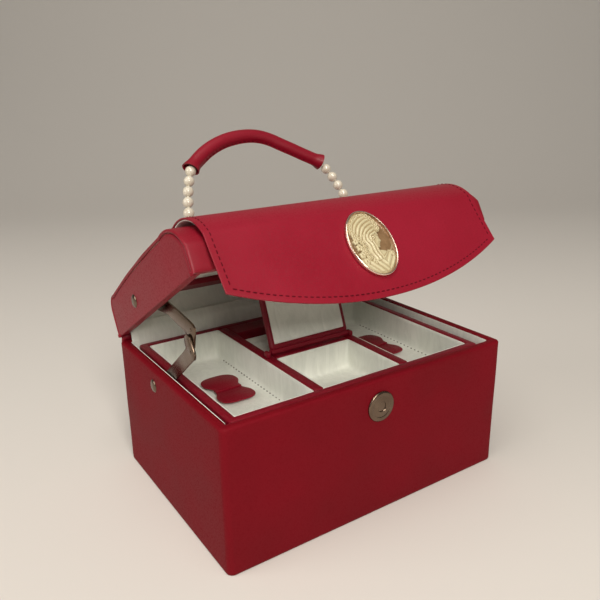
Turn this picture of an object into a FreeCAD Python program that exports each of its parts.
import FreeCAD, Part
import math
import os
import Sketcher

# Leather jewellery case. Millimetres. X is the width, Y runs to the rear, Z is up.
# The origin is the bottom centre of the base. The lid stands open at lid_open degrees.

Vector = FreeCAD.Vector
Rotation = FreeCAD.Rotation
Placement = FreeCAD.Placement
doc = FreeCAD.newDocument("jewellery_case")
sheet = doc.addObject("Spreadsheet::Sheet", "dims")

SIZES = {
    # the case as a whole
    "case_width": 200.0,
    "case_depth": 144.0,
    "base_height": 86.0,
    "lid_height": 30.0,
    "lid_open": 30.0,
    # the walls
    "leather": 1.0,
    "board": 4.0,
    "lining": 1.0,
    "floor_pad": 1.5,
    "bottom_board": 3.0,
    "roof_board": 3.0,
    "corner_radius": 4.0,
    "rim_radius": 0.9,
    "rim_gap": 1.0,
    # the outline of the lid's ends
    "rear_curve": 9.3,
    "rear_curve_forward": 10.7,
    "rear_curve_drop": 11.9,
    "crown_curve": 829.0,
    "crown_rear_drop": 3.6,
    "crown_front_drop": 0.6,
    "front_curve": 29.0,
    "front_curve_back": 30.5,
    "front_curve_drop": 16.4,
    # the rear hinge
    "hinge_offset": 2.3,
    "hinge_radius": 2.1,
    "hinge_pin_radius": 1.0,
    "hinge_span": 170.0,
    "leaf_height": 12.0,
    "leaf_thick": 0.8,
    "running_gap": 0.05,
    # the tray
    "tray_top": 83.0,
    "tray_height": 23.0,
    "tray_side_gap": 4.0,
    "tray_rear_gap": 0.4,
    "tray_wall": 5.5,
    "tray_floor_thick": 1.5,
    "divider_offset": 28.0,
    "divider_thick": 6.5,
    "mid_divider_rear": 2.0,
    "mid_divider_thick": 8.0,
    "ledge_depth": 15.5,
    "rest_depth": 8.0,
    "rest_height": 8.0,
    "suede": 0.8,
    "roll_count": 5.0,
    "roll_drop": 4.0,
    "bow_length": 38.0,
    "bow_width": 24.0,
    "bow_waist": 17.0,
    "bow_thick": 1.6,
    "bow_foot": 2.0,
    "bow_foot_half": 4.0,
    "bow_corner": 6.0,
    "bow_rearward": 4.0,
    "bow_rightward": 1.5,
    "roll_gap": 0.3,
    "liner_drop": 0.8,
    # the flip panel over the ring compartment
    "panel_width": 59.0,
    "panel_length": 48.0,
    "panel_thick": 4.4,
    "panel_lift": 2.7,
    "panel_angle": 69.0,
    "panel_border": 3.0,
    "panel_hem": 2.0,
    "panel_inlay": 0.6,
    "panel_heel": 1.2,
    "panel_edge_radius": 1.0,
    "panel_lug_half": 1.8,
    "panel_lug_rise": 1.6,
    "panel_lug_gap": 0.7,
    "panel_rod_inset": 1.1,
    "small_pin_radius": 0.8,
    # the front flap
    "flap_width": 182.0,
    "flap_axis_back": 49.5,
    "flap_axis_clear": 2.09,
    "flap_hem": 1.7,
    "flap_lug_half": 1.6,
    "flap_lug_sink": 0.6,
    "flap_clear": 0.6,
    "flap_backing": 0.8,
    "flap_drop": 37.3,
    "flap_lean": 6.6,
    "flap_curve": 222.0,
    "flap_lift": 4.0,
    # the mirror in the lid
    "mirror_back": 52.0,
    "mirror_front": 35.0,
    "mirror_side": 38.0,
    "mirror_border": 5.0,
    "mirror_frame": 2.0,
    "mirror_glass": 1.0,
    # the cameo and the snap
    "cameo_width": 30.0,
    "cameo_height": 40.0,
    "cameo_drop": 6.6,
    "cameo_rim": 1.1,
    "cameo_thick": 2.2,
    "snap_radius": 9.2,
    "snap_height": 69.6,
    "snap_thick": 1.6,
    "snap_hole": 3.0,
    "stud_radius": 8.0,
    "stud_thick": 2.2,
    "stud_clear": 0.6,
    "stud_nose": 0.8,
    # the handle
    "handle_forward": 71.0,
    "handle_clear": 3.83,
    "handle_half_span": 61.0,
    "anchor_lug_thick": 1.8,
    "anchor_lug_gap": 0.4,
    "anchor_lug_half": 2.0,
    "anchor_lug_sink": 0.85,
    "strand_curve": 105.0,
    "strand_lean": -0.6,
    "bead_radius": 3.5,
    "bead_pitch": 7.05,
    "bead_first": 7.2,
    "bead_count": 7.0,
    "ferrule_wall": 0.7,
    "cord_radius": 1.0,
    "eye_radius": 2.2,
    "eye_length": 5.0,
    "sleeve_radius": 4.2,
    "sleeve_bore": 3.3,
    "sleeve_top": 69.0,
    "sleeve_top_shift": 4.0,
    "sleeve_left_curve": 62.3,
    "sleeve_right_curve": 40.0,
    "sleeve_left_angle": 47.0,
    "sleeve_right_angle": 29.0,
    "sleeve_right_length": 37.0,
    # the folding stay inside the left wall
    "stay_thick": 1.2,
    "stay_wall_gap": 0.5,
    "washer_gap": 0.1,
    "washer_lid_gap": 0.15,
    "washer_thick": 0.8,
    "washer_thin": 0.6,
    "knee_spare": 0.5,
    "knee_back": 0.3,
    "stay_gap": 0.3,
    "stay_width": 9.0,
    "stay_base_forward": 59.4,
    "stay_base_drop": 10.5,
    "stay_lid_forward": 53.2,
    "stay_lid_rise": 11.9,
    "stay_knee_forward": 39.3,
    "stay_knee_rise": 38.7,
    "stay_play": 0.9,
    "rivet_radius": 1.5,
    "rivet_head": 3.9,
    "rivet_dome": 1.2,
}

row = 0
for alias, number in SIZES.items():
    row += 1
    sheet.set("A%d" % row, alias)
    sheet.set("B%d" % row, "%g" % number)
    sheet.setAlias("B%d" % row, alias)
doc.recompute()


class Size:
    """A number, with the expression in the sheet's words that gives it."""

    def __init__(self, number, text):
        self.number = number
        self.text = text

    def __add__(self, other):
        other = size(other)
        return Size(self.number + other.number, "(%s + %s)" % (self.text, other.text))

    def __radd__(self, other):
        return size(other) + self

    def __sub__(self, other):
        other = size(other)
        return Size(self.number - other.number, "(%s - %s)" % (self.text, other.text))

    def __rsub__(self, other):
        return size(other) - self

    def __mul__(self, other):
        other = size(other)
        return Size(self.number * other.number, "(%s * %s)" % (self.text, other.text))

    def __rmul__(self, other):
        return size(other) * self

    def __truediv__(self, other):
        other = size(other)
        return Size(self.number / other.number, "(%s / %s)" % (self.text, other.text))

    def __neg__(self):
        return Size(-self.number, "(0 - %s)" % self.text)


def size(value):
    if isinstance(value, Size):
        return value
    if value < 0:
        return Size(value, "(0 - %g)" % -value)
    return Size(value, "%g" % value)


def cosine(angle):
    return Size(math.cos(math.radians(angle.number)), "cos(%s)" % angle.text)


def sine(angle):
    return Size(math.sin(math.radians(angle.number)), "sin(%s)" % angle.text)


def root(value):
    return Size(math.sqrt(value.number), "sqrt(%s)" % value.text)


def bearing(rise, run):
    turned = math.degrees(math.atan2(rise.number, run.number))
    return Size(turned, "(atan2(%s; %s) / 1 deg)" % (rise.text, run.text))


class Dims:
    """The driving dimensions, each as a Size."""


d = Dims()
for alias, number in SIZES.items():
    setattr(d, alias, Size(number, "dims." + alias))


def bind(thing, prop, value):
    thing.setExpression(prop, size(value).text)


def place(thing, x, y, z):
    bind(thing, "Placement.Base.x", x)
    bind(thing, "Placement.Base.y", y)
    bind(thing, "Placement.Base.z", z)
    return thing


def box(name, x0, x1, y0, y1, z0, z1):
    """A box between six planes."""
    made = doc.addObject("Part::Box", name)
    bind(made, "Length", size(x1) - x0)
    bind(made, "Width", size(y1) - y0)
    bind(made, "Height", size(z1) - z0)
    return place(made, x0, y0, z0)


TURN = {
    "X": Rotation(Vector(0, 1, 0), 90),
    "Y": Rotation(Vector(1, 0, 0), -90),
    "Z": Rotation(),
}


def rod(name, along, radius, length, x, y, z):
    """A cylinder that starts at x, y, z and runs along one axis."""
    made = doc.addObject("Part::Cylinder", name)
    made.Placement = Placement(Vector(), TURN[along])
    bind(made, "Radius", radius)
    bind(made, "Height", length)
    return place(made, x, y, z)


def dome(name, radius, rise, x, y, z, outward):
    """A shallow spherical rivet head whose flat side is at x; outward is the sign of X."""
    # a sphere of this radius rises by `rise` over a disc of the given radius
    ball = (radius * radius + rise * rise) / (2 * rise)
    sphere = doc.addObject("Part::Sphere", name + "_ball")
    bind(sphere, "Radius", ball)
    place(sphere, x - outward * (ball - rise), y, z)
    near = size(x)
    far = near + outward * rise * 2
    low, high = (near, far) if outward > 0 else (far, near)
    keep = box(name + "_keep", low, high, y - radius * 2, y + radius * 2,
               z - radius * 2, z + radius * 2)
    return common(name, sphere, keep)


def cut(name, base, tool):
    made = doc.addObject("Part::Cut", name)
    made.Base = base
    made.Tool = tool
    return made


def common(name, base, tool):
    made = doc.addObject("Part::Common", name)
    made.Base = base
    made.Tool = tool
    return made


def fuse(name, pieces):
    made = doc.addObject("Part::MultiFuse", name)
    made.Shapes = pieces
    return made


def fillet(name, base, radius, pick):
    """Rounds the edges of base that pick(edge, bounds) chooses."""
    doc.recompute()
    bounds = base.Shape.BoundBox
    chosen = []
    for index, edge in enumerate(base.Shape.Edges, 1):
        if pick(edge, bounds):
            chosen.append((index, radius.number, radius.number))
    made = doc.addObject("Part::Fillet", name)
    made.Base = base
    made.Edges = chosen
    return made


def upright(edge, bounds):
    ends = [vertex.Point for vertex in edge.Vertexes]
    if len(ends) != 2:
        return False
    run = ends[1] - ends[0]
    return abs(run.z) > 0.3 and math.hypot(run.x, run.y) < 1e-6


def at_top(edge, bounds):
    return min(vertex.Point.z for vertex in edge.Vertexes) > bounds.ZMax - 1e-4


def rounded_box(name, x0, x1, y0, y1, z0, z1, radius):
    """A box with rounded upright edges."""
    return fillet(name, box(name + "_block", x0, x1, y0, y1, z0, z1), radius, upright)


def outline(name, corners, x0, x1):
    """A closed outline in the YZ plane, run along X from x0 to x1.

    corners is a list of (y, z, radius): radius is None where a straight side leads on to
    the next corner, or that of the arc which does, and it bulges outwards.
    """
    sketch = doc.addObject("Sketcher::SketchObject", name + "_outline")
    sketch.Placement = Placement(Vector(), Rotation(Vector(1, 1, 1), 120))
    bind(sketch, "Placement.Base.x", x0)
    count = len(corners)
    for index, (y, z, radius) in enumerate(corners):
        after = corners[(index + 1) % count]
        start = Vector(y.number, z.number, 0)
        end = Vector(after[0].number, after[1].number, 0)
        if radius is None:
            sketch.addGeometry(Part.LineSegment(start, end), False)
            continue
        chord = end - start
        half = chord.Length / 2
        inward = Vector(-chord.y, chord.x, 0)
        inward.normalize()
        reach = math.sqrt(radius.number ** 2 - half ** 2)
        centre = (start + end) * 0.5 + inward * reach
        circle = Part.Circle(centre, Vector(0, 0, 1), radius.number)
        first = math.atan2(start.y - centre.y, start.x - centre.x)
        last = math.atan2(end.y - centre.y, end.x - centre.x)
        sketch.addGeometry(Part.ArcOfCircle(circle, first, last), False)
    for index in range(count):
        following = (index + 1) % count
        sketch.addConstraint(Sketcher.Constraint("Coincident", index, 2, following, 1))
    for index, (y, z, radius) in enumerate(corners):
        across = sketch.addConstraint(
            Sketcher.Constraint("DistanceX", -1, 1, index, 1, y.number)
        )
        sketch.setExpression("Constraints[%d]" % across, y.text)
        rise = sketch.addConstraint(
            Sketcher.Constraint("DistanceY", -1, 1, index, 1, z.number)
        )
        sketch.setExpression("Constraints[%d]" % rise, z.text)
        if radius is not None:
            bend = sketch.addConstraint(Sketcher.Constraint("Radius", index, radius.number))
            sketch.setExpression("Constraints[%d]" % bend, radius.text)
    made = doc.addObject("Part::Extrusion", name)
    made.Base = sketch
    made.DirMode = "Normal"
    made.Solid = True
    bind(made, "LengthFwd", size(x1) - x0)
    return made


def arc_tube(name, x, z, curve, radius, first, sweep):
    """Part of a ring in the XZ plane; first is where it starts, up from +X."""
    made = doc.addObject("Part::Torus", name)
    made.Placement = Placement(
        Vector(), Rotation(Vector(1, 0, 0), 90) * Rotation(Vector(0, 0, 1), first.number)
    )
    bind(made, "Radius1", curve)
    bind(made, "Radius2", radius)
    bind(made, "Angle3", sweep)
    return place(made, x, 0, z)


NODES = {}


def keep(name, thing):
    """Names a finished sub-part."""
    thing.Label = name
    NODES[name] = thing
    return thing


def turn(thing, y, z, angle):
    """Stands a sub-part, made with its own origin on an axis along X, at y, z."""
    thing.Placement = Placement(Vector(), Rotation(Vector(-1, 0, 0), angle.number))
    bind(thing, "Placement.Rotation.Angle", angle)
    return place(thing, 0, y, z)


# ---------------------------------------------------------------- base
half_w = d.case_width / 2
half_d = d.case_depth / 2
skin = d.leather
wall = d.leather + d.board
inside = wall + d.lining
rim = d.base_height

outer = rounded_box("base_outer", -half_w, half_w, -half_d, half_d, 0, rim, d.corner_radius)
outer_rounded = fillet("base_outer_rim", outer, d.rim_radius, at_top)
core_x = half_w - skin
core_y = half_d - skin
core = rounded_box("base_core", -core_x, core_x, -core_y, core_y, skin, rim - skin,
                   d.corner_radius - skin)
room_x = half_w - wall
room_y = half_d - wall
room = box("base_room", -room_x, room_x, -room_y, room_y, skin + d.bottom_board, rim + 5)
leather_shell = cut("base_leather_shell", outer_rounded, core)
under = box("base_under", -half_w, half_w, -half_d, half_d, 0, skin)
keep("base_leather", cut("base_leather_body", leather_shell, fuse("base_leather_tools",
                                                                  [room, under])))
keep("base_bottom_cover", common("base_bottom_cover_body", outer_rounded, under))

floor_z = skin + d.bottom_board
slab = box("bottom_slab", -half_w, half_w, -half_d, half_d, skin, floor_z)
keep("base_bottom_board", common("base_bottom_body", core, slab))
for name, x0, x1, y0, y1 in (
    ("front", -half_w, half_w, -core_y, -room_y),
    ("rear", -half_w, half_w, room_y, core_y),
    ("left", -core_x, -room_x, -room_y, room_y),
    ("right", room_x, core_x, -room_y, room_y),
):
    cutter = box("base_%s_zone" % name, x0, x1, y0, y1, floor_z, rim - skin)
    keep("base_%s_board" % name, common("base_%s_body" % name, core, cutter))

in_x = half_w - inside
in_y = half_d - inside
lining_out = box("base_lining_out", -room_x, room_x, -room_y, room_y, floor_z, rim - 0.6)
lining_in = box("base_lining_in", -in_x, in_x, -in_y, in_y, floor_z + d.floor_pad, rim + 5)
keep("base_lining", cut("base_lining_body", lining_out, lining_in))

# the two rests that carry the tray
tray_bottom = d.tray_top - d.tray_height
rest_low = tray_bottom - d.rest_height
for name, y0, y1 in (
    ("front", -in_y, d.rest_depth - in_y),
    ("rear", in_y - d.rest_depth, in_y),
):
    keep("base_%s_rest" % name,
         box("base_%s_rest_bar" % name, -in_x, in_x, y0, y1, rest_low, tray_bottom))

# the snap's socket on the front
socket = rod("socket_disc", "Y", d.snap_radius, d.snap_thick, 0, -half_d - d.snap_thick,
             d.snap_height)
socket_round = fillet("socket_round", socket, size(0.6), lambda edge, bounds:
                      abs(edge.BoundBox.YMax - bounds.YMin) < 1e-4)
socket_hole = rod("socket_hole", "Y", d.snap_hole, d.snap_thick - 0.4, 0,
                  -half_d - d.snap_thick - 0.01, d.snap_height)
keep("snap_socket", cut("snap_socket_body", socket_round, socket_hole))

# ---------------------------------------------------------------- rear hinge
hinge_y = half_d + d.hinge_offset
hinge_z = rim + d.rim_gap / 2
knuckle = d.hinge_span / 5
half_span = d.hinge_span / 2
hinge_pin = rod("hinge_pin_rod", "X", d.hinge_pin_radius, d.hinge_span, -half_span, hinge_y,
                hinge_z)
keep("hinge_pin", hinge_pin)


def knuckles(name, starts, leaf, y, z):
    """A leaf with its knuckles, bored for the pin."""
    pieces = []
    for index, start in enumerate(starts):
        length = knuckle - 0.5
        tube = rod("%s_tube_%d" % (name, index), "X", d.hinge_radius, length,
                   knuckle * start - half_span + 0.25, y, z)
        web = leaf(index, knuckle * start - half_span + 0.25, length)
        pieces.append(tube)
        pieces.append(web)
    pieces.append(leaf(None, None, None))
    whole = fuse(name + "_whole", pieces)
    bore = rod(name + "_bore", "X", d.hinge_pin_radius + d.running_gap, d.hinge_span + 10,
               -half_span - 5, y, z)
    return cut(name + "_body", whole, bore)


def base_leaf(index, start, length):
    low = hinge_z - d.leaf_height
    if index is None:
        return box("base_leaf_plate", -half_span, half_span, half_d,
                   half_d + d.leaf_thick, low, hinge_z - d.hinge_radius - 0.6)
    return box("base_leaf_web_%d" % index, start, start + length, half_d,
               half_d + d.leaf_thick, low, hinge_z)


keep("hinge_base_leaf", knuckles("base_hinge", (0, 2, 4), base_leaf, hinge_y, hinge_z))

# ---------------------------------------------------------------- lid
# The lid is drawn closed, with its own origin on the hinge axis, and then turned.
lid_rear = d.hinge_offset
lid_front = d.hinge_offset + d.case_depth + 0.2
lid_low = d.rim_gap / 2
lid_top = lid_low + d.lid_height


def lid_corners(inset, low):
    """The lid's outline seen from its left end, moved in by inset."""
    return [
        (-(lid_rear + inset), low, None),
        (-(lid_rear + inset), lid_top - d.rear_curve_drop, d.rear_curve - inset),
        (-(lid_rear + d.rear_curve_forward + inset * 0.4),
         lid_top - d.crown_rear_drop - inset * 0.92, d.crown_curve - inset),
        (-(lid_front - d.front_curve_back - inset * 0.25),
         lid_top - d.crown_front_drop - inset * 0.97, d.front_curve - inset),
        (-(lid_front - inset), lid_top - d.front_curve_drop, None),
        (-(lid_front - inset), low, None),
    ]


def roof_height(forward):
    """The height of the roof's skin over the hinge's axis, so far forward of it."""
    rear_f = lid_rear + d.rear_curve_forward
    rear_h = lid_top - d.crown_rear_drop
    front_f = lid_front - d.front_curve_back
    front_h = lid_top - d.crown_front_drop
    run = front_f - rear_f
    rise = front_h - rear_h
    chord = root(run * run + rise * rise)
    reach = root(d.crown_curve * d.crown_curve - chord * chord / 4)
    centre_f = (rear_f + front_f) / 2 + rise / chord * reach
    centre_h = (rear_h + front_h) / 2 - run / chord * reach
    off = forward - centre_f
    return centre_h + root(d.crown_curve * d.crown_curve - off * off)


lid_outer = outline("lid_outer", lid_corners(size(0), lid_low), -half_w, half_w)
lid_core = outline("lid_core", lid_corners(skin, lid_low + skin), -core_x, core_x)
roof_in = d.leather + d.roof_board
lid_room = outline("lid_room", lid_corners(roof_in, lid_low - 5), -room_x, room_x)
lid_skin = cut("lid_skin", lid_outer, lid_core)
lid_leather = cut("lid_leather_body", lid_skin, lid_room)
lid_shell = cut("lid_shell", lid_core, lid_room)
split = lid_top - d.front_curve_drop
far = -(d.case_depth + 20)
lid_zones = (
    ("left", -half_w, -room_x, far, 20, -5, 60),
    ("right", room_x, half_w, far, 20, -5, 60),
    ("roof", -room_x, room_x, far, 20, split, 60),
    ("front", -room_x, room_x, far, -d.case_depth / 2, -5, split),
    ("rear", -room_x, room_x, -d.case_depth / 2, 20, -5, split),
)
for name, x0, x1, y0, y1, z0, z1 in lid_zones:
    zone = box("lid_%s_zone" % name, x0, x1, y0, y1, z0, z1)
    board = common("lid_%s_body" % name, lid_shell, zone)
    keep("lid_%s_board" % name, turn(board, hinge_y, hinge_z, d.lid_open))
keep("lid_leather", turn(lid_leather, hinge_y, hinge_z, d.lid_open))

lid_lining_out = outline("lid_lining_out", lid_corners(roof_in, lid_low + 0.6),
                         -room_x, room_x)
lid_lining_in = outline("lid_lining_in", lid_corners(roof_in + d.lining, lid_low - 5),
                        -in_x, in_x)
lid_lining = cut("lid_lining_body", lid_lining_out, lid_lining_in)
keep("lid_lining", turn(lid_lining, hinge_y, hinge_z, d.lid_open))

# the mirror under the roof, in its leather frame
mirror_top = lid_top - d.crown_rear_drop * 0.45 - roof_in - d.lining
mirror_rear = -(lid_rear + d.mirror_back)
mirror_front = -(lid_front - d.mirror_front)
mirror_half = half_w - d.mirror_side
border = d.mirror_border
frame_low = mirror_top - d.mirror_frame
frame_block = box("mirror_frame_block", -mirror_half, mirror_half, mirror_front, mirror_rear,
                  frame_low, mirror_top)
mirror_frame = fillet("mirror_frame_body", frame_block, size(6), upright)
keep("mirror_frame", turn(mirror_frame, hinge_y, hinge_z, d.lid_open))
glass_block = box("mirror_glass_block", border - mirror_half, mirror_half - border,
                  mirror_front + border, mirror_rear - border,
                  frame_low - d.mirror_glass, frame_low)
mirror_glass = fillet("mirror_glass_body", glass_block, size(4), upright)
keep("mirror_glass", turn(mirror_glass, hinge_y, hinge_z, d.lid_open))


def lid_leaf(index, start, length):
    if index is None:
        return box("lid_leaf_plate", -half_span, half_span, -lid_rear,
                   d.leaf_thick - lid_rear, d.hinge_radius + 0.6, d.leaf_height)
    return box("lid_leaf_web_%d" % index, start, start + length, -lid_rear,
               d.leaf_thick - lid_rear, 0, d.leaf_height)


lid_hinge = knuckles("lid_hinge", (1, 3), lid_leaf, 0, 0)
keep("hinge_lid_leaf", turn(lid_hinge, hinge_y, hinge_z, d.lid_open))


# ---------------------------------------------------------------- flap
# The flap is drawn lying on the closed lid, and lifted by flap_lift from there.
axis_forward = lid_front - d.flap_axis_back
axis_y = -axis_forward
axis_z = roof_height(axis_forward) + d.flap_axis_clear
flap_half = d.flap_width / 2


def flap_strip(name, near, thick):
    """The roof and front part of the lid's outline, made into a strip and its lower leaf."""
    whole = outline(name + "_whole", lid_corners(-(near + thick), lid_low), -flap_half,
                    flap_half)
    hollow = outline(name + "_hollow", lid_corners(-near, lid_low - 5), -flap_half - 5,
                     flap_half + 5)
    bend = cut(name + "_bend", whole, hollow)
    ahead = box(name + "_ahead", -flap_half - 5, flap_half + 5, far - 20,
                axis_y - d.flap_hem * 0.6, split, 60)
    top = common(name + "_top", bend, ahead)
    face_y = -(lid_front + near)
    leaf = outline(name + "_leaf", [
        (face_y, split, None),
        (face_y - thick, split, None),
        (face_y - thick - d.flap_lean, -d.flap_drop, None),
        (face_y - d.flap_lean, -d.flap_drop, None),
    ], -flap_half, flap_half)
    return fuse(name + "_both", [top, leaf])


flap_bottom = d.flap_curve - d.flap_drop
flap_round = rod("flap_round", "Y", d.flap_curve, d.case_depth * 2, 0, far - 40, flap_bottom)
flap_round_in = rod("flap_round_in", "Y", d.flap_curve - 0.6, d.case_depth * 2, 0, far - 40,
                    flap_bottom)
lug_in = flap_half - 5
lug_out = flap_half - 1.5


def lug_notch(name, side):
    near_x = side * (lug_in - 0.5)
    far_x = side * (flap_half + 5)
    low, high = (near_x, far_x) if side > 0 else (far_x, near_x)
    return box(name, low, high, axis_y - 3.5, axis_y + 6, split, 60)


notches = fuse("flap_notches", [lug_notch("flap_notch_left", -1),
                                lug_notch("flap_notch_right", 1)])
strip = flap_strip("flap_outer", d.flap_clear + d.flap_backing, d.leather)
hem = rod("flap_hem_tube", "X", d.flap_hem, lug_in * 2 - 1, 0.5 - lug_in, axis_y, axis_z)
shaped = common("flap_shaped", strip, flap_round)
with_hem = fuse("flap_with_hem", [cut("flap_notched", shaped, notches), hem])
hem_bore = rod("flap_hem_bore", "X", d.small_pin_radius + d.running_gap, d.flap_width + 20,
               -flap_half - 10, axis_y, axis_z)
flap_leather = cut("flap_leather_body", with_hem, hem_bore)

back_strip = flap_strip("flap_inner", d.flap_clear, d.flap_backing)
back_shaped = common("flap_back_shaped", back_strip, flap_round_in)
back_zone = box("flap_back_zone", -flap_half - 5, flap_half + 5, far - 20,
                axis_y - d.flap_hem - 3, -80, 60)
back_short = common("flap_back_short", back_shaped, back_zone)
flap_back = cut("flap_back_body", back_short, lug_notch("flap_back_notch", -1))
flap_back_done = cut("flap_back_done", flap_back, lug_notch("flap_back_notch_right", 1))

# The lower leaf leans outward by lean_angle; the stud and the cameo sit square on it.
leaf_drop = split + d.flap_drop
lean_angle = bearing(d.flap_lean, leaf_drop)


def on_leaf(thing, offset, z):
    """Stands a piece, made flat in XZ and facing -Y, on the leaf at height z."""
    back = (split - z) * d.flap_lean / leaf_drop
    thing.Placement = Placement(Vector(), Rotation(Vector(-1, 0, 0), lean_angle.number))
    bind(thing, "Placement.Rotation.Angle", lean_angle)
    return place(thing, 0, -(lid_front + offset) - back, z)


stud_z = d.snap_height - hinge_z
stud_disc = rod("stud_disc", "Y", d.stud_radius, d.stud_thick, 0, 0, 0)
stud_nose = rod("stud_nose", "Y", d.snap_hole - d.stud_clear, d.stud_thick + d.stud_nose, 0, 0, 0)
stud = on_leaf(fuse("flap_stud_body", [stud_disc, stud_nose]), d.flap_clear, stud_z)


def oval(name, width, height, thick, y):
    """An elliptical plate facing -Y."""
    curve = doc.addObject("Part::Ellipse", name + "_curve")
    curve.Placement = Placement(Vector(), Rotation(Vector(0, 0, 1), Vector(0, -1, 0)) *
                                Rotation(Vector(0, 0, 1), 90))
    bind(curve, "MajorRadius", height / 2)
    bind(curve, "MinorRadius", width / 2)
    place(curve, 0, y, 0)
    made = doc.addObject("Part::Extrusion", name)
    made.Base = curve
    made.DirMode = "Custom"
    made.Dir = Vector(0, -1, 0)
    made.Solid = True
    bind(made, "LengthFwd", thick)
    return made


leaf_outer = d.flap_clear + d.flap_backing + d.leather
cameo_z = -d.cameo_drop
rim_plate = oval("cameo_rim_plate", d.cameo_width, d.cameo_height, d.cameo_thick, size(0))
rim_hole = oval("cameo_rim_hole", d.cameo_width - d.cameo_rim * 2,
                d.cameo_height - d.cameo_rim * 2, d.cameo_thick + 2, size(1))
cameo_rim = on_leaf(cut("cameo_rim_body", rim_plate, rim_hole), leaf_outer, cameo_z)
ground = oval("cameo_ground_plate", d.cameo_width - d.cameo_rim * 2,
              d.cameo_height - d.cameo_rim * 2, d.cameo_thick * 0.6, size(0))
cameo_ground = on_leaf(ground, leaf_outer, cameo_z)
relief_face = oval("cameo_face", d.cameo_width * 0.5, d.cameo_height * 0.5,
                   d.cameo_thick * 0.7, -d.cameo_thick * 0.6)
relief_bust = oval("cameo_bust", d.cameo_width * 0.5, d.cameo_height * 0.4,
                   d.cameo_thick * 0.4, -d.cameo_thick * 0.6)
place(relief_bust, 0, 0, -d.cameo_height * 0.25)
relief = on_leaf(fuse("cameo_relief_body", [relief_face, relief_bust]), leaf_outer, cameo_z)

flap_spin_y = hinge_y + axis_y * cosine(d.lid_open) + axis_z * sine(d.lid_open)
flap_spin_z = hinge_z - axis_y * sine(d.lid_open) + axis_z * cosine(d.lid_open)
flap_angle = d.lid_open + d.flap_lift


def on_flap(name, thing):
    """Turns a flap piece about the flap's own axis, then about the lid's hinge."""
    holder = doc.addObject("Part::Compound", name + "_on_axis")
    holder.Links = [thing]
    place(holder, 0, -axis_y, -axis_z)
    moved = doc.addObject("Part::Compound", name + "_turned")
    moved.Links = [holder]
    keep(name, turn(moved, flap_spin_y, flap_spin_z, flap_angle))


on_flap("flap_leather", flap_leather)
on_flap("flap_backing", flap_back_done)
on_flap("flap_snap_stud", stud)
on_flap("cameo_rim", cameo_rim)
on_flap("cameo_ground", cameo_ground)
on_flap("cameo_relief", relief)

# the rod in two lugs that carries the flap
flap_rod = rod("flap_rod_pin", "X", d.small_pin_radius, lug_out * 2, -lug_out, axis_y, axis_z)
lugs = [flap_rod]
for name, side in (("left", -1), ("right", 1)):
    low, high = (lug_in, lug_out) if side > 0 else (-lug_out, -lug_in)
    lugs.append(box("flap_lug_" + name, low, high, axis_y - d.flap_lug_half,
                    axis_y + d.flap_lug_half,
                    axis_z - d.flap_axis_clear - d.flap_lug_sink, axis_z + d.flap_lug_half))
keep("flap_rod", turn(fuse("flap_rod_body", lugs), hinge_y, hinge_z, d.lid_open))

# ---------------------------------------------------------------- handle
swing_y = -d.handle_forward
swing_z = roof_height(d.handle_forward) + d.handle_clear
span = d.handle_half_span
half_eye = d.eye_length / 2
lug_near = half_eye + d.anchor_lug_gap
lug_far = lug_near + d.anchor_lug_thick
lug_low = swing_z - d.handle_clear - d.anchor_lug_sink
for name, side in (("left", -1), ("right", 1)):
    middle = span * side
    pin = rod("anchor_pin_" + name, "X", d.small_pin_radius, d.eye_length + 4,
              middle - half_eye - 2, swing_y, swing_z)
    near_lug = box("anchor_near_" + name, middle - lug_far, middle - lug_near,
                   swing_y - d.anchor_lug_half, swing_y + d.anchor_lug_half, lug_low,
                   swing_z + d.anchor_lug_half)
    far_lug = box("anchor_far_" + name, middle + lug_near, middle + lug_far,
                  swing_y - d.anchor_lug_half, swing_y + d.anchor_lug_half, lug_low,
                  swing_z + d.anchor_lug_half)
    anchor = fuse("anchor_body_" + name, [pin, near_lug, far_lug])
    keep("handle_anchor_" + name, turn(anchor, hinge_y, hinge_z, d.lid_open))

handle_y = hinge_y + swing_y * cosine(d.lid_open) + swing_z * sine(d.lid_open)
handle_z = hinge_z - swing_y * sine(d.lid_open) + swing_z * cosine(d.lid_open)
DEGREES = 57.29578


def strand_point(run, side):
    """A point of the strand, run millimetres up from the eye."""
    lean = d.strand_lean
    now = lean + run / d.strand_curve * DEGREES
    x = span - d.strand_curve * (cosine(lean) - cosine(now))
    z = d.strand_curve * (sine(now) - sine(lean))
    return x * side, z


for name, side in (("left", -1), ("right", 1)):
    beads = []
    for index in range(int(SIZES["bead_count"])):
        x, z = strand_point(d.bead_first + d.bead_pitch * index, side)
        bead = doc.addObject("Part::Sphere", "bead_%s_%d" % (name, index))
        bind(bead, "Radius", d.bead_radius)
        place(bead, x, 0, z)
        beads.append(bead)
    # the cord through the beads bends with the strand
    sweep = (d.bead_first + d.bead_pitch * (d.bead_count - 1)) / d.strand_curve * DEGREES
    centre = span - d.strand_curve * cosine(d.strand_lean)
    rise = -(d.strand_curve * sine(d.strand_lean))
    if side > 0:
        first = d.strand_lean
    else:
        first = size(180) - d.strand_lean - sweep
    beads.append(arc_tube("strand_cord_" + name, centre * side, rise, d.strand_curve,
                          d.cord_radius, first, sweep))
    eye_x = span * side - half_eye
    beads.append(rod("eye_ferrule_" + name, "Z", d.cord_radius + d.ferrule_wall, d.bead_first - 2,
                     span * side, 0, 0))
    beads.append(rod("eye_tube_" + name, "X", d.eye_radius, d.eye_length, eye_x, 0, 0))
    strand = fuse("strand_whole_" + name, beads)
    bore = rod("eye_bore_" + name, "X", d.small_pin_radius + d.running_gap,
               d.eye_length + 4, eye_x - 2, 0, 0)
    keep("handle_strand_" + name,
         turn(cut("strand_body_" + name, strand, bore), handle_y, handle_z, d.lid_open))

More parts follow.
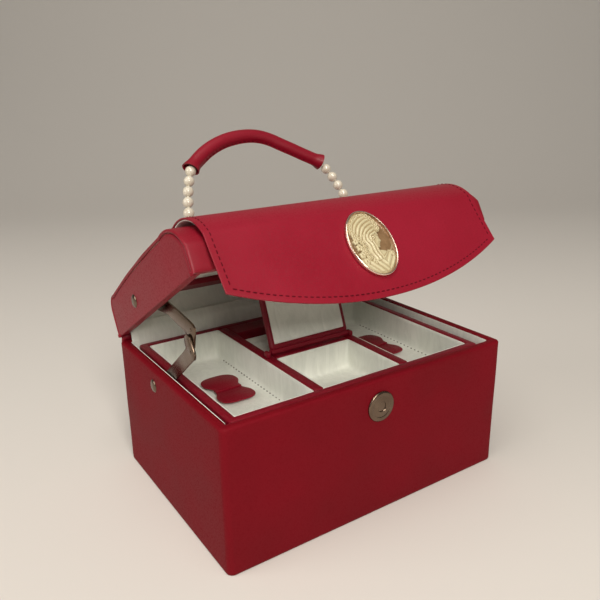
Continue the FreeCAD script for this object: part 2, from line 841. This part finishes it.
# the sleeve: a tighter curve left of its top, a short curve right of it, then straight
top_x = -d.sleeve_top_shift
sleeve_parts = {}
for role, radius in (("out", d.sleeve_radius), ("bore", d.sleeve_bore)):
    left = arc_tube("sleeve_left_" + role, top_x, d.sleeve_top - d.sleeve_left_curve,
                    d.sleeve_left_curve, radius, size(90), d.sleeve_left_angle)
    right = arc_tube("sleeve_right_" + role, top_x, d.sleeve_top - d.sleeve_right_curve,
                     d.sleeve_right_curve, radius, size(90) - d.sleeve_right_angle,
                     d.sleeve_right_angle)
    end_x = top_x + d.sleeve_right_curve * sine(d.sleeve_right_angle)
    end_z = d.sleeve_top - d.sleeve_right_curve * (1 - cosine(d.sleeve_right_angle))
    slope = doc.addObject("Part::Cylinder", "sleeve_slope_" + role)
    slope.Placement = Placement(
        Vector(), Rotation(Vector(0, 1, 0), 90 + d.sleeve_right_angle.number)
    )
    bind(slope, "Radius", radius)
    bind(slope, "Height", d.sleeve_right_length)
    place(slope, end_x, 0, end_z)
    sleeve_parts[role] = fuse("sleeve_" + role, [left, right, slope])
sleeve = cut("sleeve_body", sleeve_parts["out"], sleeve_parts["bore"])
keep("handle_sleeve", turn(sleeve, handle_y, handle_z, d.lid_open))

# ---------------------------------------------------------------- folding stay
stay_y = hinge_y - d.stay_base_forward
stay_z = hinge_z - d.stay_base_drop
knee_y = stay_y - d.stay_knee_forward
knee_z = stay_z + d.stay_knee_rise
lid_end_y = hinge_y - d.stay_lid_forward * cosine(d.lid_open) + d.stay_lid_rise * sine(d.lid_open)
lid_end_z = hinge_z + d.stay_lid_forward * sine(d.lid_open) + d.stay_lid_rise * cosine(d.lid_open)
lower_x = d.stay_wall_gap - in_x
upper_x = lower_x + d.stay_thick + d.stay_gap
upper_end = upper_x + d.stay_thick
half_stay = d.stay_width / 2


def arm(name, x, length, forward, bores):
    """A flat strip with round ends from the origin along Y, bored at its two ends."""
    if forward:
        plate = box(name + "_plate", x, x + d.stay_thick, -length, 0, -half_stay, half_stay)
    else:
        plate = box(name + "_plate", x, x + d.stay_thick, 0, length, -half_stay, half_stay)
    end_y = -length if forward else length
    pieces = [plate]
    for part_name, y in (("_near", 0), ("_far", end_y)):
        pieces.append(rod(name + part_name, "X", half_stay, d.stay_thick, x, y, 0))
    whole = fuse(name + "_whole", pieces)
    for index, (y, radius) in enumerate(bores):
        hole = rod("%s_hole_%d" % (name, index), "X", radius, d.stay_thick + 2, x - 1, y, 0)
        whole = cut("%s_bored_%d" % (name, index), whole, hole)
    return whole


running = d.rivet_radius + d.running_gap
lower_length = root(d.stay_knee_forward * d.stay_knee_forward
                    + d.stay_knee_rise * d.stay_knee_rise)
lower_arm = arm("stay_lower", lower_x, lower_length, True, [(size(0), running)])
knee_pin = rod("knee_pin", "X", d.rivet_radius, upper_end - lower_x + d.knee_spare, lower_x,
               -lower_length, 0)
knee_head = rod("knee_head", "X", d.rivet_radius * 2, d.washer_thin,
                upper_end + d.washer_gap, -lower_length, 0)
knee_back = rod("knee_back", "X", d.rivet_radius * 2, d.knee_back, lower_x - d.knee_back,
                -lower_length, 0)
lower_all = fuse("stay_lower_all", [lower_arm, knee_pin, knee_head, knee_back])
lower_angle = bearing(d.stay_knee_rise, d.stay_knee_forward)
keep("stay_lower_arm", turn(lower_all, stay_y, stay_z, lower_angle))

run_y = lid_end_y - knee_y
run_z = lid_end_z - knee_z
upper_length = root(run_y * run_y + run_z * run_z)
upper_arm = arm("stay_upper", upper_x, upper_length, False,
                [(size(0), running), (upper_length, d.rivet_radius + d.stay_play)])
keep("stay_upper_arm", turn(upper_arm, knee_y, knee_z, -bearing(run_z, run_y)))

base_rivet = [
    rod("base_rivet_pin", "X", d.rivet_radius,
        half_w + lower_x + d.stay_thick + d.washer_gap + d.washer_thick, -half_w, stay_y,
        stay_z),
    rod("base_rivet_inside", "X", d.rivet_radius * 1.8, d.washer_thick,
        lower_x + d.stay_thick + d.washer_gap, stay_y, stay_z),
    dome("base_rivet_dome", d.rivet_head, d.rivet_dome, -half_w, stay_y, stay_z, -1),
]
keep("stay_base_rivet", fuse("base_rivet_body", base_rivet))
lid_rivet = [
    rod("lid_rivet_pin", "X", d.rivet_radius, half_w + upper_end + d.washer_thick, -half_w,
        -d.stay_lid_forward, d.stay_lid_rise),
    rod("lid_rivet_inside", "X", d.rivet_radius * 2.3, d.washer_thin,
        upper_end + d.washer_lid_gap, -d.stay_lid_forward, d.stay_lid_rise),
    dome("lid_rivet_dome", d.rivet_head, d.rivet_dome, -half_w, -d.stay_lid_forward,
         d.stay_lid_rise, -1),
]
keep("stay_lid_rivet", turn(fuse("lid_rivet_body", lid_rivet), hinge_y, hinge_z, d.lid_open))

# ---------------------------------------------------------------- tray
tray_x = in_x - d.tray_side_gap
tray_front = d.tray_side_gap - in_y
tray_rear = in_y - d.tray_rear_gap
bay_front = tray_front + d.tray_wall
bay_rear = tray_rear - d.tray_wall
bay_x = tray_x - d.tray_wall
floor_top = tray_bottom + d.tray_floor_thick
tray_top = d.tray_top
centre_x = d.divider_offset
side_x = centre_x + d.divider_thick
mid_rear = d.mid_divider_rear
mid_front = mid_rear - d.mid_divider_thick
ledge_y = bay_rear - d.ledge_depth

for name, x0, x1, y0, y1, z0 in (
    ("tray_floor", -tray_x, tray_x, tray_front, tray_rear, tray_bottom),
    ("tray_front_wall", -tray_x, tray_x, tray_front, bay_front, floor_top),
    ("tray_rear_wall", -tray_x, tray_x, bay_rear, tray_rear, floor_top),
    ("tray_left_wall", -tray_x, -bay_x, bay_front, bay_rear, floor_top),
    ("tray_right_wall", bay_x, tray_x, bay_front, bay_rear, floor_top),
    ("tray_left_divider", -side_x, -centre_x, bay_front, bay_rear, floor_top),
    ("tray_right_divider", centre_x, side_x, bay_front, bay_rear, floor_top),
    ("tray_mid_divider", -centre_x, centre_x, mid_front, mid_rear, floor_top),
    ("tray_rear_ledge", -centre_x, centre_x, ledge_y, bay_rear, floor_top),
):
    top = floor_top if name == "tray_floor" else tray_top
    keep(name, box(name + "_board", x0, x1, y0, y1, z0, top))

liner_floor = floor_top + d.floor_pad
for name, x0, x1, y0, y1 in (
    ("left", -bay_x, -side_x, bay_front, bay_rear),
    ("right", side_x, bay_x, bay_front, bay_rear),
    ("front", -centre_x, centre_x, bay_front, mid_front),
):
    shell = box("liner_%s_shell" % name, x0, x1, y0, y1, floor_top, tray_top - d.liner_drop)
    space = box("liner_%s_space" % name, x0 + d.suede, x1 - d.suede, y0 + d.suede,
                y1 - d.suede, liner_floor, tray_top + 5)
    keep("tray_%s_liner" % name, cut("liner_%s_body" % name, shell, space))

# the ring compartment's suede rolls
roll_y0 = mid_rear + d.roll_gap
roll_y1 = ledge_y - d.roll_gap
roll_radius = (roll_y1 - roll_y0) / (2 * d.roll_count)
roll_z = tray_top - d.roll_drop - roll_radius
rolls = [box("roll_base", d.roll_gap - centre_x, centre_x - d.roll_gap, roll_y0, roll_y1,
             floor_top, roll_z)]
for index in range(int(SIZES["roll_count"])):
    rolls.append(rod("roll_%d" % index, "X", roll_radius, (centre_x - d.roll_gap) * 2,
                     d.roll_gap - centre_x, roll_y0 + roll_radius * (2 * index + 1), roll_z))
keep("ring_rolls", fuse("ring_rolls_body", rolls))

# a bow of leather on a small foot in each side compartment
bow_y = (bay_front + bay_rear) / 2 + d.bow_rearward
bow_low = liner_floor + d.bow_foot
for name, side in (("left", -1), ("right", 1)):
    bow_x = (side_x + bay_x) / 2 * side + d.bow_rightward
    half_length = d.bow_length / 2
    half_bow = d.bow_width / 2
    plate = rounded_box("bow_plate_" + name, bow_x - half_bow, bow_x + half_bow,
                        bow_y - half_length, bow_y + half_length, bow_low,
                        bow_low + d.bow_thick, d.bow_corner)
    waist = d.bow_width
    sides = []
    for mark, way in (("near", -1), ("far", 1)):
        sides.append(rod("bow_waist_%s_%s" % (mark, name), "Z", waist, d.bow_thick + 2,
                         bow_x + way * (d.bow_waist / 2 + waist), bow_y, bow_low - 1))
    trimmed = cut("bow_trimmed_" + name, plate, fuse("bow_sides_" + name, sides))
    foot = box("bow_foot_" + name, bow_x - d.bow_foot_half, bow_x + d.bow_foot_half,
               bow_y - d.bow_foot_half, bow_y + d.bow_foot_half, liner_floor, bow_low)
    keep("tray_%s_bow" % name, fuse("bow_body_" + name, [trimmed, foot]))

# ---------------------------------------------------------------- flip panel
panel_y = (mid_front + mid_rear) / 2
panel_z = tray_top + d.panel_lift
half_panel = d.panel_width / 2
rod_half = side_x - d.panel_rod_inset
panel_parts = [rod("panel_rod_pin", "X", d.small_pin_radius, rod_half * 2, -rod_half, panel_y,
                   panel_z)]
for name, side in (("left", -1), ("right", 1)):
    near_x = half_panel + d.panel_lug_gap
    low, high = (near_x, rod_half) if side > 0 else (-rod_half, -near_x)
    panel_parts.append(box("panel_lug_" + name, low, high, panel_y - d.panel_lug_half,
                           panel_y + d.panel_lug_half, tray_top,
                           panel_z + d.panel_lug_rise))
keep("panel_rod", fuse("panel_rod_body", panel_parts))

half_thick = d.panel_thick / 2
board_plate = rounded_box("panel_plate", -half_panel, half_panel, d.panel_heel,
                          d.panel_length, -half_thick, half_thick, d.panel_edge_radius)
recess = box("panel_recess", d.panel_border - half_panel, half_panel - d.panel_border,
             d.panel_border + d.panel_edge_radius, d.panel_length - d.panel_border,
             half_thick - d.panel_inlay, half_thick + 5)
hem_tube = rod("panel_hem_tube", "X", d.panel_hem, d.panel_width, -half_panel, 0, 0)
hem_bore = rod("panel_hem_bore", "X", d.small_pin_radius + d.running_gap,
               d.panel_width + 10, -half_panel - 5, 0, 0)
panel_whole = fuse("panel_whole", [cut("panel_recessed", board_plate, recess), hem_tube])
panel_board = cut("panel_board_body", panel_whole, hem_bore)
keep("panel_board", turn(panel_board, panel_y, panel_z, -d.panel_angle))
suede_plate = box("panel_suede_plate", d.panel_border - half_panel,
                  half_panel - d.panel_border, d.panel_border + d.panel_edge_radius,
                  d.panel_length - d.panel_border, half_thick - d.panel_inlay, half_thick)
panel_suede = common("panel_suede_body", suede_plate,
                     box("panel_suede_zone", -half_panel, half_panel, 0, d.panel_length,
                         -half_thick, half_thick))
keep("panel_suede", turn(panel_suede, panel_y, panel_z, -d.panel_angle))

# ---------------------------------------------------------------- checks and export
doc.recompute()
for thing in doc.Objects:
    if "Invalid" in thing.State or "Error" in thing.State:
        raise RuntimeError("%s did not recompute: %s" % (thing.Label, thing.State))
os.makedirs("parts", exist_ok=True)
for name, thing in NODES.items():
    shape = thing.Shape
    if shape.isNull() or not shape.isValid() or not shape.Solids:
        raise RuntimeError("%s has no valid solid" % name)
    shape.exportStep("parts/%s.step" % name)
    print(name, len(shape.Solids), round(shape.Volume / 1000, 2))
